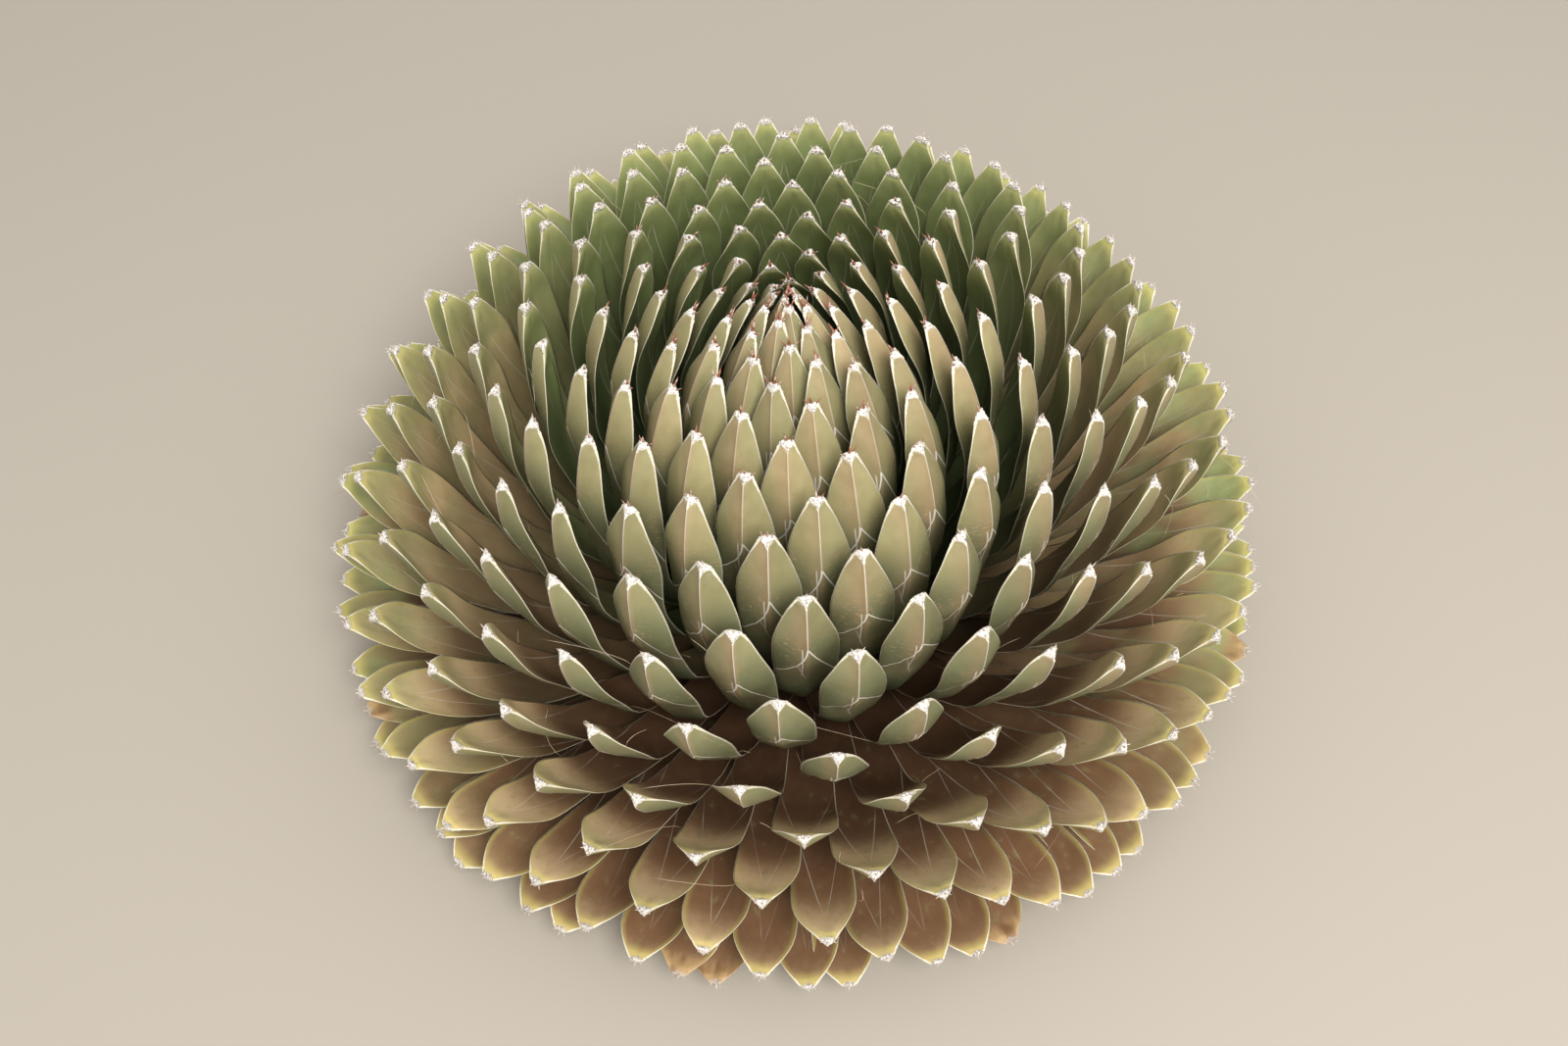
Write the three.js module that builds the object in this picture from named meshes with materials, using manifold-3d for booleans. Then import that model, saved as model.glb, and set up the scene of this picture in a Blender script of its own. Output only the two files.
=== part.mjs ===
// Queen Victoria agave (Agave victoriae-reginae): a dense, domed rosette of thick keeled leaves
// on a short stem, cut off flat just under the lowest leaves.
// Millimetres, +Z up. The origin is the middle of the stem's cut face, which the plant rests on.
import * as THREE from 'three';
import { mergeVertices } from 'three/addons/utils/BufferGeometryUtils.js';
import Module from 'manifold-3d';

const wasm = await Module();
wasm.setup();

// The spiral. Leaf 0 is the youngest, at the crown; each leaf stands a golden angle from the last.
const LEAF_COUNT = 344;
const FIRST_OLD_LEAF = 160;
const GOLDEN_ANGLE = 137.508;
const FIRST_LEAF_AZIMUTH = 232.4;
const LAG_FROM_LEAF = 215;
const LAG_PER_LEAF_SQUARED = 7.64e-4;
const POLAR_STEP = 0.2993;

// The dome that the leaf tips lie on, from the crown down to the rim.
const DOME_RADIUS = 283;
const DOME_RISE = 221;
const RIM_HEIGHT = 37;
const LOWEST_LEAVES_DROP = 0.23;
const DOME_ROUNDNESS_OUT = 1.95;
const DOME_ROUNDNESS_UP = 2.04;
const BUD_LEAVES = 14;
const BUD_RISE = 9;

// How unevenly the leaves grow: the range of a tip's distance from the axis, and of a leaf's roll
// in degrees. The strides mix up the order of the leaves.
const TIP_SCATTER = 4;
const TIP_STRIDE = 0.7549;
const LEAF_ROLL = 9;
const ROLL_STRIDE = 0.5698;

// Where the leaves leave the swollen stem, youngest and oldest, and how soon they spread out to it.
const YOUNGEST_BASE = new THREE.Vector2(5, 66);
const OLDEST_BASE = new THREE.Vector2(95, 16);
const BASE_SPREAD_POWER = 4;

// Each leaf bends once: the angle in degrees between its chord and its direction at either end,
// less on the oldest leaves, and how far along the chord each end keeps its direction.
const LEAF_BEND = 26;
const UNBENT_FROM_LEAF = 190;
const UNBENT_PER_LEAF = 0.12;
const BASE_HANDLE = 0.3;
const TIP_HANDLE = 0.62;

// One leaf's section at places along it (0 its root, 1 its tip): half its width, how far the keel
// stands out under its midline, and how far the margins stand over it.
const LEAF_STATIONS = [
  { along: 0, halfWidth: 13, keel: 6, margin: 1 },
  { along: 0.42, halfWidth: 14.5, keel: 9, margin: 1.5 },
  { along: 0.75, halfWidth: 17, keel: 11, margin: 2 },
  { along: 0.87, halfWidth: 13.5, keel: 9, margin: 2 },
  { along: 0.97, halfWidth: 5.5, keel: 4.5, margin: 1.5 },
  { along: 1, halfWidth: 0, keel: 0, margin: 0 },
];
const SUNK_ROOT_STATION = 1;

// How the leaves grow: a bud leaf's share of full size, and a young tip's longer taper.
const SMALLEST_BUD_LEAF = 0.45;
const FULL_SIZE_FROM_LEAF = 100;
const GROWTH_POWER = 0.45;
const YOUNG_TAPER = 1.15;
const TAPER_DROP = 0.5;

// The packed leaf bases inside the rosette: a core that the leaves' free ends stand out of.
const CORE_REACH = 0.5;
const CORE_PROFILE_LEAVES = [25, 75, 130, 190, 260];
const CORE_SIDES = 14;
const RIM_EDGE = 1;
const YOUNG_CORE_UNDERSIDE = 44;
const OLD_CORE_UNDERSIDE = 19;
const OLD_CORE_UNDERSIDE_RADIUS = 120;
const FREE_LEAVES_FROM = 322;

// The stem that carries the leaves.
const STEM_FOOT_RADIUS = 32;
const STEM_TOP_RADIUS = 12;
const STEM_HEIGHT = 64;
const STEM_POINT = 6;
const STEM_SIDES = 20;

// The gap between two pieces, and how much further than it a leaf's sharp edges move out, so that
// the faces between them clear it all over.
const CLEARANCE = 0.4;
const SHARP_EDGE_GROWTH = 2.5;
const KEEL_GROWTH = 1.3;

const radians = THREE.MathUtils.degToRad;

// -1, 0 or 1, with rounding errors taken for 0.
const signOf = (value) => (Math.abs(value) < 1e-6 ? 0 : Math.sign(value));

// A small offset, between -0.5 and 0.5, that differs from leaf to leaf but is the same each time.
const scatter = (leaf, stride) => ((leaf * stride) % 1) - 0.5;

// Where along the life of the plant a leaf stands: 0 the youngest, 1 the oldest.
const ageOf = (leaf) => leaf / (LEAF_COUNT - 1);

function azimuthOf(leaf) {
  const lag = LAG_PER_LEAF_SQUARED * Math.max(leaf - LAG_FROM_LEAF, 0) ** 2;
  return radians(FIRST_LEAF_AZIMUTH + leaf * GOLDEN_ANGLE - lag);
}

// A leaf tip's distance from the axis and its height.
function tipOf(leaf) {
  const polar = radians(Math.min(POLAR_STEP * (leaf + 1), 90));
  const rise = (1 - Math.sin(polar) ** DOME_ROUNDNESS_OUT) ** (1 / DOME_ROUNDNESS_UP);
  const budRise = BUD_RISE * Math.max(1 - leaf / BUD_LEAVES, 0);
  const rimDrop = LOWEST_LEAVES_DROP * Math.max(leaf - 90 / POLAR_STEP, 0);
  const height = RIM_HEIGHT + DOME_RISE * rise + budRise - rimDrop;
  const stray = TIP_SCATTER * scatter(leaf, TIP_STRIDE);
  return new THREE.Vector2(DOME_RADIUS * Math.sin(polar) + stray, height);
}

// A direction in the plane of the axis and the leaf, at an elevation in degrees.
function direction(elevation) {
  return new THREE.Vector2(Math.cos(radians(elevation)), Math.sin(radians(elevation)));
}

// The line along the middle of a leaf, in its own upright plane: x is away from the axis, y is up.
function midline(leaf) {
  const age = ageOf(leaf);
  const spread = 1 - (1 - age) ** BASE_SPREAD_POWER;
  const base = YOUNGEST_BASE.clone().lerp(OLDEST_BASE, spread);
  const tip = tipOf(leaf);
  const chord = tip.clone().sub(base);
  const lean = THREE.MathUtils.radToDeg(chord.angle());
  const bend = LEAF_BEND - UNBENT_PER_LEAF * Math.max(leaf - UNBENT_FROM_LEAF, 0);
  const afterBase = direction(lean - bend).multiplyScalar(BASE_HANDLE * chord.length()).add(base);
  const beforeTip = direction(lean + bend).multiplyScalar(-TIP_HANDLE * chord.length()).add(tip);
  return new THREE.CubicBezierCurve(base, afterBase, beforeTip, tip);
}

// A leaf's size as a share of full size.
function sizeOf(leaf) {
  const youth = Math.min(leaf / FULL_SIZE_FROM_LEAF, 1);
  return SMALLEST_BUD_LEAF + (1 - SMALLEST_BUD_LEAF) * youth ** GROWTH_POWER;
}

// Where a station lies along a leaf: those of the free end move with the leaf's taper.
function alongOf(leaf, station) {
  if (station.along <= CORE_REACH) {
    return station.along;
  }
  const taper = sizeOf(leaf) * (YOUNG_TAPER - TAPER_DROP * ageOf(leaf));
  return 1 - (1 - station.along) * taper;
}

// A point given in a leaf's plane, moved sideways from it and turned to the leaf's place.
function turnedOut(outward, height, sideways, azimuth) {
  const x = outward * Math.cos(azimuth) - sideways * Math.sin(azimuth);
  const y = outward * Math.sin(azimuth) + sideways * Math.cos(azimuth);
  return [x, y, height];
}

// A three-sided cone, bent along the midline and shaped to a leaf: its edges are the keel and the
// two margins. `grow` fattens it all round, for cutting the clearance to a neighbour.
function leafGeometry(leaf, stations, grow) {
  const segments = stations.length - 1;
  const cone = new THREE.ConeGeometry(1, 1, 3, segments);
  const curve = midline(leaf);
  const azimuth = azimuthOf(leaf);
  const roll = radians(LEAF_ROLL * scatter(leaf, ROLL_STRIDE));
  const size = sizeOf(leaf);
  const position = cone.getAttribute('position');
  for (let i = 0; i < position.count; i += 1) {
    const level = Math.round((position.getY(i) + 0.5) * segments);
    const station = stations[level];
    const edge = signOf(position.getX(i));
    const face = signOf(position.getZ(i));
    const place = alongOf(leaf, station);
    const middle = curve.getPoint(place);
    const along = curve.getTangent(place);
    const across = edge * (station.halfWidth * size + SHARP_EDGE_GROWTH * grow);
    const keel = -station.keel * size - KEEL_GROWTH * grow;
    const margin = station.margin * size + grow;
    const above = face > 0 ? keel : -face * margin;
    const sideways = across * Math.cos(roll) - above * Math.sin(roll);
    const lift = across * Math.sin(roll) + above * Math.cos(roll);
    const stretch = SHARP_EDGE_GROWTH * grow * ((level === segments) - (level === 0));
    const outward = middle.x + along.x * stretch - along.y * lift;
    const height = middle.y + along.y * stretch + along.x * lift;
    position.setXYZ(i, ...turnedOut(outward, height, sideways, azimuth));
  }
  return cone;
}

// A closed geometry as a solid that can be joined and cut.
function solidOf(geometry) {
  const bare = geometry.clone();
  bare.deleteAttribute('normal');
  bare.deleteAttribute('uv');
  const merged = mergeVertices(bare, 1e-4);
  const mesh = new wasm.Mesh({
    numProp: 3,
    vertProperties: new Float32Array(merged.getAttribute('position').array),
    triVerts: new Uint32Array(merged.index.array),
  });
  return new wasm.Manifold(mesh);
}

// Solids joined two by two, so that each join stays small.
function joinAll(solids) {
  let row = solids;
  while (row.length > 1) {
    const next = [];
    for (let i = 0; i < row.length; i += 2) {
      next.push(i + 1 < row.length ? row[i].add(row[i + 1]) : row[i]);
    }
    row = next;
  }
  return row[0];
}

// The largest body of a solid alone: loose scraps go, and sealed hollows are filled.
function wholeBody(solid) {
  const bodies = solid.decompose();
  return bodies.reduce((best, body) => (body.volume() > best.volume() ? body : best));
}

function geometryOf(solid) {
  const mesh = wholeBody(solid).getMesh();
  const geometry = new THREE.BufferGeometry();
  geometry.setAttribute('position', new THREE.BufferAttribute(mesh.vertProperties, 3));
  geometry.setIndex(new THREE.BufferAttribute(mesh.triVerts, 1));
  geometry.computeVertexNormals();
  return geometry;
}

// A solid of revolution about +Z, from its outline as [radius, height] points.
function turned(outline, sides) {
  const points = outline.map(([radius, height]) => new THREE.Vector2(radius, height));
  const geometry = new THREE.LatheGeometry(points, sides);
  geometry.rotateX(Math.PI / 2);
  return geometry;
}

// The stem, thick at its foot; `grow` makes the socket that the leaf bases leave for it.
function stemGeometry(grow) {
  const outline = [
    [0, -grow],
    [STEM_FOOT_RADIUS + grow, -grow],
    [STEM_FOOT_RADIUS + grow, OLDEST_BASE.y],
    [STEM_TOP_RADIUS + grow, STEM_HEIGHT - STEM_POINT],
    [0, STEM_HEIGHT + grow],
  ];
  return turned(outline, STEM_SIDES);
}

function leavesBetween(first, last, grow) {
  const solids = [];
  for (let leaf = first; leaf < last; leaf += 1) {
    const root = leaf < FREE_LEAVES_FROM ? SUNK_ROOT_STATION : 0;
    solids.push(solidOf(leafGeometry(leaf, LEAF_STATIONS.slice(root), grow)));
  }
  return solids;
}

// The core under a run of leaves: from its underside out to the last leaf, and up along the
// places where the leaves' free ends start to the crown.
function coreOf(lastLeaf, undersideHeight, undersideRadius, grow) {
  const reach = CORE_PROFILE_LEAVES.filter((leaf) => leaf < lastLeaf).concat(lastLeaf);
  const side = reach.map((leaf) => midline(leaf).getPoint(CORE_REACH));
  const rim = side[side.length - 1];
  const crown = midline(0).getPoint(CORE_REACH);
  const outline = [
    [0, undersideHeight - grow],
    [undersideRadius, undersideHeight - grow],
    [rim.x + grow, rim.y - RIM_EDGE - grow],
    ...side.reverse().map((point) => [point.x + grow, point.y + grow]),
    [0, crown.y + grow],
  ];
  return solidOf(turned(outline, CORE_SIDES));
}

function youngSolid(grow) {
  const core = coreOf(FIRST_OLD_LEAF, YOUNG_CORE_UNDERSIDE, STEM_TOP_RADIUS, grow);
  return joinAll([core, ...leavesBetween(0, FIRST_OLD_LEAF, grow)]);
}

function oldSolid() {
  const core = coreOf(LEAF_COUNT - 1, OLD_CORE_UNDERSIDE, OLD_CORE_UNDERSIDE_RADIUS, 0);
  return joinAll([core, ...leavesBetween(FIRST_OLD_LEAF, LEAF_COUNT, 0)]);
}

function piece(name, geometry, color, roughness) {
  const material = new THREE.MeshStandardMaterial({ color, roughness, metalness: 0 });
  const mesh = new THREE.Mesh(geometry, material);
  mesh.name = name;
  return mesh;
}

const socket = solidOf(stemGeometry(CLEARANCE));
const young = youngSolid(0).subtract(socket);
const old = oldSolid().subtract(youngSolid(CLEARANCE)).subtract(socket);

const agave = new THREE.Group();
agave.add(piece('stem', stemGeometry(0), 0x7a5a3c, 0.9));
agave.add(piece('young_leaves', geometryOf(young), 0xa9ad7a, 0.55));
agave.add(piece('old_leaves', geometryOf(old), 0x6f7a4e, 0.6));

export default agave;
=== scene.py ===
"""Queen Victoria agave: the fine leaves, their spines and the stem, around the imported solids.

The leaves repeat the solids' own rule in millimetres: one golden-angle spiral whose tips lie on a
dome. Each leaf carries its own measures as mesh attributes, and one material draws the white
margins, keel, bud prints, cap and flecks from them.
"""
import math

import bpy
import numpy as np
from mathutils import Matrix, Vector


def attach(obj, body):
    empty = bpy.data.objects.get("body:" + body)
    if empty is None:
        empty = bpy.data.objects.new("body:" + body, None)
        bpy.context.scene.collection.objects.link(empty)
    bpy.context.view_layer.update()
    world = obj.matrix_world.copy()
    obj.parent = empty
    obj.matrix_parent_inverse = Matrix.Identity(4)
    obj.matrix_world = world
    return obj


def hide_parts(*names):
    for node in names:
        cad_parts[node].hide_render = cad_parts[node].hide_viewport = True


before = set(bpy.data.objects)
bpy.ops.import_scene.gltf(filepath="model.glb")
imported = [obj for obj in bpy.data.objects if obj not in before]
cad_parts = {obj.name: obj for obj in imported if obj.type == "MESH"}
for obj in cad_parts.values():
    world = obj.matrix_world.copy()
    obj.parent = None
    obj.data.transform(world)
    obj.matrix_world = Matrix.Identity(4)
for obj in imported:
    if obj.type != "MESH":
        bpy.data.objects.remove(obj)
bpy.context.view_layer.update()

MM = 0.001

# The camera: the picture's width and focal length in its own pixels, then millimetres and degrees.
PICTURE_WIDTH = 1600
FOCAL_PIXELS = 1500
SENSOR_WIDTH = 36
CAMERA_ELEVATION = 58.8
CAMERA_ROLL = -2.94
CAMERA_DISTANCE = 919
CAMERA_TARGET = (-6.3, 0, 48.6)

# The floor and the soft light, in metres and watts.
FLOOR_HALF = 6.0
KEY_SPOT = (0.35, -1.0, 1.8)
KEY_TARGET = (0, 0, 0.1)
KEY_SIZE = 1.0
KEY_POWER = 44
KEY_COLOUR = (1, 0.975, 0.95)
SKY_COLOUR = (1, 0.985, 0.97, 1)

# The spiral and the dome, as in the solids. A leaf's age is 0 for the youngest, 1 for the oldest.
LEAF_COUNT = 344
OLDEST_LEAF = LEAF_COUNT - 1
FIRST_OLD_LEAF = 160
GOLDEN_ANGLE = 137.508
FIRST_LEAF_AZIMUTH = 232.4
LAG_FROM_LEAF = 215
LAG_PER_LEAF_SQUARED = 7.64e-4
POLAR_STEP = 0.2993
DOME_RADIUS = 283
DOME_RISE = 221
RIM_HEIGHT = 37
LOWEST_LEAVES_DROP = 0.23
DOME_ROUNDNESS_OUT = 1.95
DOME_ROUNDNESS_UP = 2.04
BUD_LEAVES = 14
BUD_RISE = 9
TIP_SCATTER = 4
TIP_STRIDE = 0.7549
LEAF_ROLL = 9
ROLL_STRIDE = 0.5698

# How the leaves curve, as in the solids: from the swollen stem to the tip in one bend, given as
# the angle in degrees between the leaf's chord and its direction at either end.
YOUNGEST_BASE = np.array([5, 66])
OLDEST_BASE = np.array([95, 16])
BASE_SPREAD_POWER = 4
LEAF_BEND = 26
UNBENT_FROM_LEAF = 190
UNBENT_PER_LEAF = 0.12
BASE_HANDLE = 0.3
TIP_HANDLE = 0.62

# How the leaves grow: a bud leaf's share of full size, and how the taper shortens with age.
SMALLEST_BUD_LEAF = 0.45
FULL_SIZE_FROM_LEAF = 100
GROWTH_POWER = 0.45
YOUNG_TAPER = 1.15
TAPER_DROP = 0.15
OLD_TAPER_DROP = 0.5

# A leaf's section at distances back from its tip: half its width, the keel's depth under its
# midline, the margins' height over it, and how far the upper face lies under it.
SECTIONS = np.array(
    [
        # back, half width, keel, margin, hollow
        (0, 2.7, 2.0, 0.6, -1.0),
        (1, 3.9, 3.1, 1.0, -1.8),
        (3, 4.7, 4.1, 1.3, -1.6),
        (5.5, 5.6, 4.7, 1.6, -2.1),
        (8, 6.5, 5.1, 1.8, -2.2),
        (11, 7.7, 5.5, 1.9, -2.0),
        (18, 10.4, 6.1, 2.0, -1.1),
        (24, 12.6, 6.6, 2.0, -0.3),
        (30, 14.7, 7.0, 2.0, 0.4),
        (36, 16.4, 7.3, 2.0, 0.8),
        (41, 17.3, 7.6, 2.0, 1.0),
        (52, 17.4, 8.0, 2.0, 1.4),
        (70, 16.9, 8.2, 1.9, 1.3),
        (85, 16.3, 8.1, 1.7, 1.1),
        (100, 15.7, 7.9, 1.6, 0.9),
        (125, 14.8, 7.5, 1.5, 0.7),
        (150, 14.2, 7.0, 1.4, 0.5),
        (300, 13.0, 6.0, 1.0, 0.0),
    ]
)
RINGS = (0, 0.4, 1.2, 2.4, 3.6, 4.6, 5.5, 6.5, 8, 10, 12.5, 15.5, 19, 23.5, 29, 35, 42, 50)
RINGS += (58, 67, 77, 89, 103, 120, 142, 170)
CURVE_STEPS = 400

# The outline: how far back each side's shoulder lies as a share of the table's, how much that
# varies, and how much rounder than the table the outline is at two ages.
LEFT_SHOULDER = 0.92
RIGHT_SHOULDER = 1.07
SHOULDER_SCATTER = (0.95, 1.05)
SHOULDER_BACK = 41
ROUNDING_AGES = (0.45, 0.75)
ROUNDNESS = (0.15, 0.5)

# How full the outer face is between the keel and the margins: 1 is flat, less bulges.
FULLNESS_AT_ROOT = 0.72
FULLNESS_AT_TIP = 0.93
FULLNESS_FADE = 90

# The bead along the keel, the rough crust of the cap, and the crease behind it on the upper face.
KEEL_BEAD = 0.35
BEAD_START = 3
CRUST_LENGTH = 5
CRUST_ROUGHNESS = 0.22
CRUST_WEAR = 0.5
TIP_CREASE = 0.7
CREASE_BACK = 13
CREASE_LENGTH = 7
CREASE_WIDTH = 0.15

# How unevenly a leaf grows: the most that it twists in degrees towards its tip, the wave of its
# margins, and how far it leans aside at a distance from its tip. The strides mix up the order.
TIP_TWIST = 9
TWIST_LENGTH = 45
TWIST_STRIDE = 0.4142
MARGIN_WAVE = 0.9
WAVE_LENGTH = 70
WAVE_START = 20
WAVE_STRIDE = 0.3028
SIDE_LEAN = 0.8
LEAN_BACK = 60

# The bud print on a leaf's outer face: the keel forks, and an arm runs out to each margin. An arm
# lies rate * distance ** power beside the keel, at a distance past the fork.
FORK_BACK = 44
FORK_RISE = (0, 14)
FORK_RISE_AGES = (0.2, 0.45)
FORK_SCATTER = 8
LEFT_ARM = (0.024, 1.85)
RIGHT_ARM = (0.42, 1.02)
ARM_SPREAD = (0.75, 1.3)
WIDEST_ARM = 0.8
PRINT_PRESS = 0.5
PRINT_FADE = (95, 150)

# Points round a leaf: out along the upper face from margin to margin, and back under it.
UPPER_ACROSS = (-1, -0.94, -0.8, -0.5, -0.2, 0, 0.2, 0.5, 0.8, 0.94)
LOWER_ACROSS = (1, 0.94, 0.8, 0.64, 0.48, 0.33, 0.2, 0.06)
LOWER_ACROSS += (0,) + tuple(-a for a in LOWER_ACROSS[:0:-1])

# Dust lies thickest on the side seen first, and least at the back.
LEAST_DUST = 0.05

# The stem, as in the solids: it narrows to its top, and its ridges fade in above the cut face.
# A ridge is given as its height, how many go round, and its slant.
STEM_FOOT_RADIUS = 32
STEM_TOP_RADIUS = 12
STEM_END_RADIUS = 4
STEM_HEIGHT = 64
STEM_POINT = 6
RIDGES = ((0.5, 19, 0.2), (0.4, 31, -0.3))
RIDGE_START = 3
TURNED_SIDES = 120

# The swollen part, which reaches past the leaf bases, and the scars on its flat underside. They
# reach no further above it than their zone.
UNDERSIDE_HEIGHT = 12
UNDERSIDE_RINGS = 20
BASES_BULGE = 4
SCAR_COUNT = 90
SCAR_RADIUS = 7
SCAR_DEPTH = 3
SCAR_ZONE = 5

# A leaf's end spine and side prongs. Young leaves have longer ones, and a thicker end spine. A
# prong starts aside of the tip, leans out, up or down, and has a share of the spine's length.
SPINE_LENGTH = (2.6, 4.4)
SPINE_SUNK = 1.4
SPINE_RADIUS = 0.75
SPINE_BEND = 0.3
YOUNG_UNTIL_AGE = 0.3
YOUNG_SPINE_LENGTH = 4
YOUNG_SPINE_RADIUS = 0.4
PRONG_CHANCE = 0.75
PRONG_ASIDE = 1.8
PRONG_LEAN = (0.3, 1.2)
PRONG_LIFT = (-0.3, 0.4)
PRONG_SHARE = (0.6, 1)
PRONG_SUNK = 1
PRONG_RADIUS = 0.55
CONE_SIDES = 5
CONE_WAIST = (0.5, 0.6)

# Fine fibres that split off the margins of grown leaves: how many leaves have one, between which
# rings it starts, its length, how it points aside, up and along the leaf, and how it curls.
FIBRES_FROM_LEAF = 90
FIBRE_CHANCE = 0.45
FIBRE_RINGS = (13, 22)
SHORTEST_FIBRE = 8
LONGEST_FIBRE = 55
FIBRE_RADIUS = 0.12
FIBRE_LEAN = (0.1, 0.6)
FIBRE_LIFT = (-0.1, 0.5)
FIBRE_ALONG = (0.4, 1)
FIBRE_CURL = 0.35
FIBRE_DRIFT = 0.3
FIBRE_SUNK = 0.4
FIBRE_STEPS = 7
TUBE_SIDES = 3

# A direction that no spine or fibre points along, to turn its section from.
ODD_DIRECTION = (0.3, 0.5, 0.81)

# The rows of cells in the picture that is baked, the inset of a leaf's patch in its cell, and how
# the leaf's rings spread over the patch.
PATCH_ROWS = 2
PATCH_INSET = 0.03
PATCH_ROW_POWER = 0.9
END_POINT_ROW = 0.01

YOUNG_LEAVES_PER_PIECE = 6
OLD_LEAVES_PER_PIECE = 12
SEED = 7


def scatter(leaf, stride):
    """A small offset from -0.5 to 0.5 that differs from leaf to leaf."""
    return (leaf * stride) % 1 - 0.5


def azimuth_of(leaf):
    lag = LAG_PER_LEAF_SQUARED * max(leaf - LAG_FROM_LEAF, 0) ** 2
    return math.radians(FIRST_LEAF_AZIMUTH + leaf * GOLDEN_ANGLE - lag)


def tip_of(leaf):
    """A leaf tip's distance from the axis and its height."""
    polar = math.radians(min(POLAR_STEP * (leaf + 1), 90))
    rise = (1 - math.sin(polar) ** DOME_ROUNDNESS_OUT) ** (1 / DOME_ROUNDNESS_UP)
    bud_rise = BUD_RISE * max(1 - leaf / BUD_LEAVES, 0)
    rim_drop = LOWEST_LEAVES_DROP * max(leaf - 90 / POLAR_STEP, 0)
    stray = TIP_SCATTER * scatter(leaf, TIP_STRIDE)
    height = RIM_HEIGHT + DOME_RISE * rise + bud_rise - rim_drop
    return np.array([DOME_RADIUS * math.sin(polar) + stray, height])


def direction(elevation):
    return np.array([math.cos(math.radians(elevation)), math.sin(math.radians(elevation))])


def midline(leaf):
    """The four control points of the line along a leaf's middle, in its own upright plane."""
    age = leaf / OLDEST_LEAF
    spread = 1 - (1 - age) ** BASE_SPREAD_POWER
    base = YOUNGEST_BASE + (OLDEST_BASE - YOUNGEST_BASE) * spread
    tip = tip_of(leaf)
    chord = tip - base
    length = np.linalg.norm(chord)
    lean = math.degrees(math.atan2(chord[1], chord[0]))
    bend = LEAF_BEND - UNBENT_PER_LEAF * max(leaf - UNBENT_FROM_LEAF, 0)
    after_base = base + BASE_HANDLE * length * direction(lean - bend)
    before_tip = tip - TIP_HANDLE * length * direction(lean + bend)
    return base, after_base, before_tip, tip


def along_curve(points, t):
    """Points of a cubic curve and its unit tangents at the places t."""
    a, b, c, d = points
    t = t[:, None]
    u = 1 - t
    at = a * u**3 + 3 * b * t * u**2 + 3 * c * t**2 * u + d * t**3
    slope = 3 * (b - a) * u**2 + 6 * (c - b) * t * u + 3 * (d - c) * t**2
    return at, slope / np.linalg.norm(slope, axis=1, keepdims=True)


def smooth_line(x, places, values):
    """A smooth line through the values that never overshoots them."""
    step = np.diff(places)
    slope = np.diff(values) / step
    tangent = np.zeros(len(values))
    rising = slope[:-1] * slope[1:] > 0
    mean = 2 * slope[:-1] * slope[1:] / np.where(rising, slope[:-1] + slope[1:], 1)
    tangent[1:-1] = np.where(rising, mean, 0)
    tangent[0], tangent[-1] = slope[0], slope[-1]
    i = np.clip(np.searchsorted(places, x) - 1, 0, len(step) - 1)
    t = np.clip((x - places[i]) / step[i], 0, 1)
    return (
        values[i] * (1 + 2 * t) * (1 - t) ** 2
        + tangent[i] * step[i] * t * (1 - t) ** 2
        + values[i + 1] * t**2 * (3 - 2 * t)
        - tangent[i + 1] * step[i] * t**2 * (1 - t)
    )


def section(column, back):
    return smooth_line(back, SECTIONS[:, 0], SECTIONS[:, column])


ACROSS = np.array(UPPER_ACROSS + LOWER_ACROSS)
AROUND = len(ACROSS)
ON_LOWER = np.array([0.0] * len(UPPER_ACROSS) + [1.0] * len(LOWER_ACROSS))
ON_LOWER[0] = ON_LOWER[len(UPPER_ACROSS)] = 0.5
RING_COUNT = len(RINGS) + 1


def leaf_faces():
    """The faces of one leaf, from its tip to its root, and each corner's place in its picture."""
    faces = []
    corners = []
    rows = [(i / (RING_COUNT - 1)) ** PATCH_ROW_POWER for i in range(RING_COUNT)]
    for ring in range(RING_COUNT - 1):
        for i in range(AROUND):
            j = (i + 1) % AROUND
            a = ring * AROUND
            b = a + AROUND
            faces.append((a + j, a + i, b + i, b + j))
            left, right = i / AROUND, (i + 1) / AROUND
            high, low = rows[ring], rows[ring + 1]
            corners += [(right, high), (left, high), (left, low), (right, low)]
    tip = RING_COUNT * AROUND
    last = (RING_COUNT - 1) * AROUND
    for i in range(AROUND):
        j = (i + 1) % AROUND
        left, right = i / AROUND, (i + 1) / AROUND
        faces.append((tip, i, j))
        corners += [((left + right) / 2, -END_POINT_ROW), (left, 0), (right, 0)]
        faces.append((tip + 1, last + j, last + i))
        corners += [((left + right) / 2, 1 + END_POINT_ROW), (right, 1), (left, 1)]
    return faces, np.array(corners)


FACES, CORNERS = leaf_faces()


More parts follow.
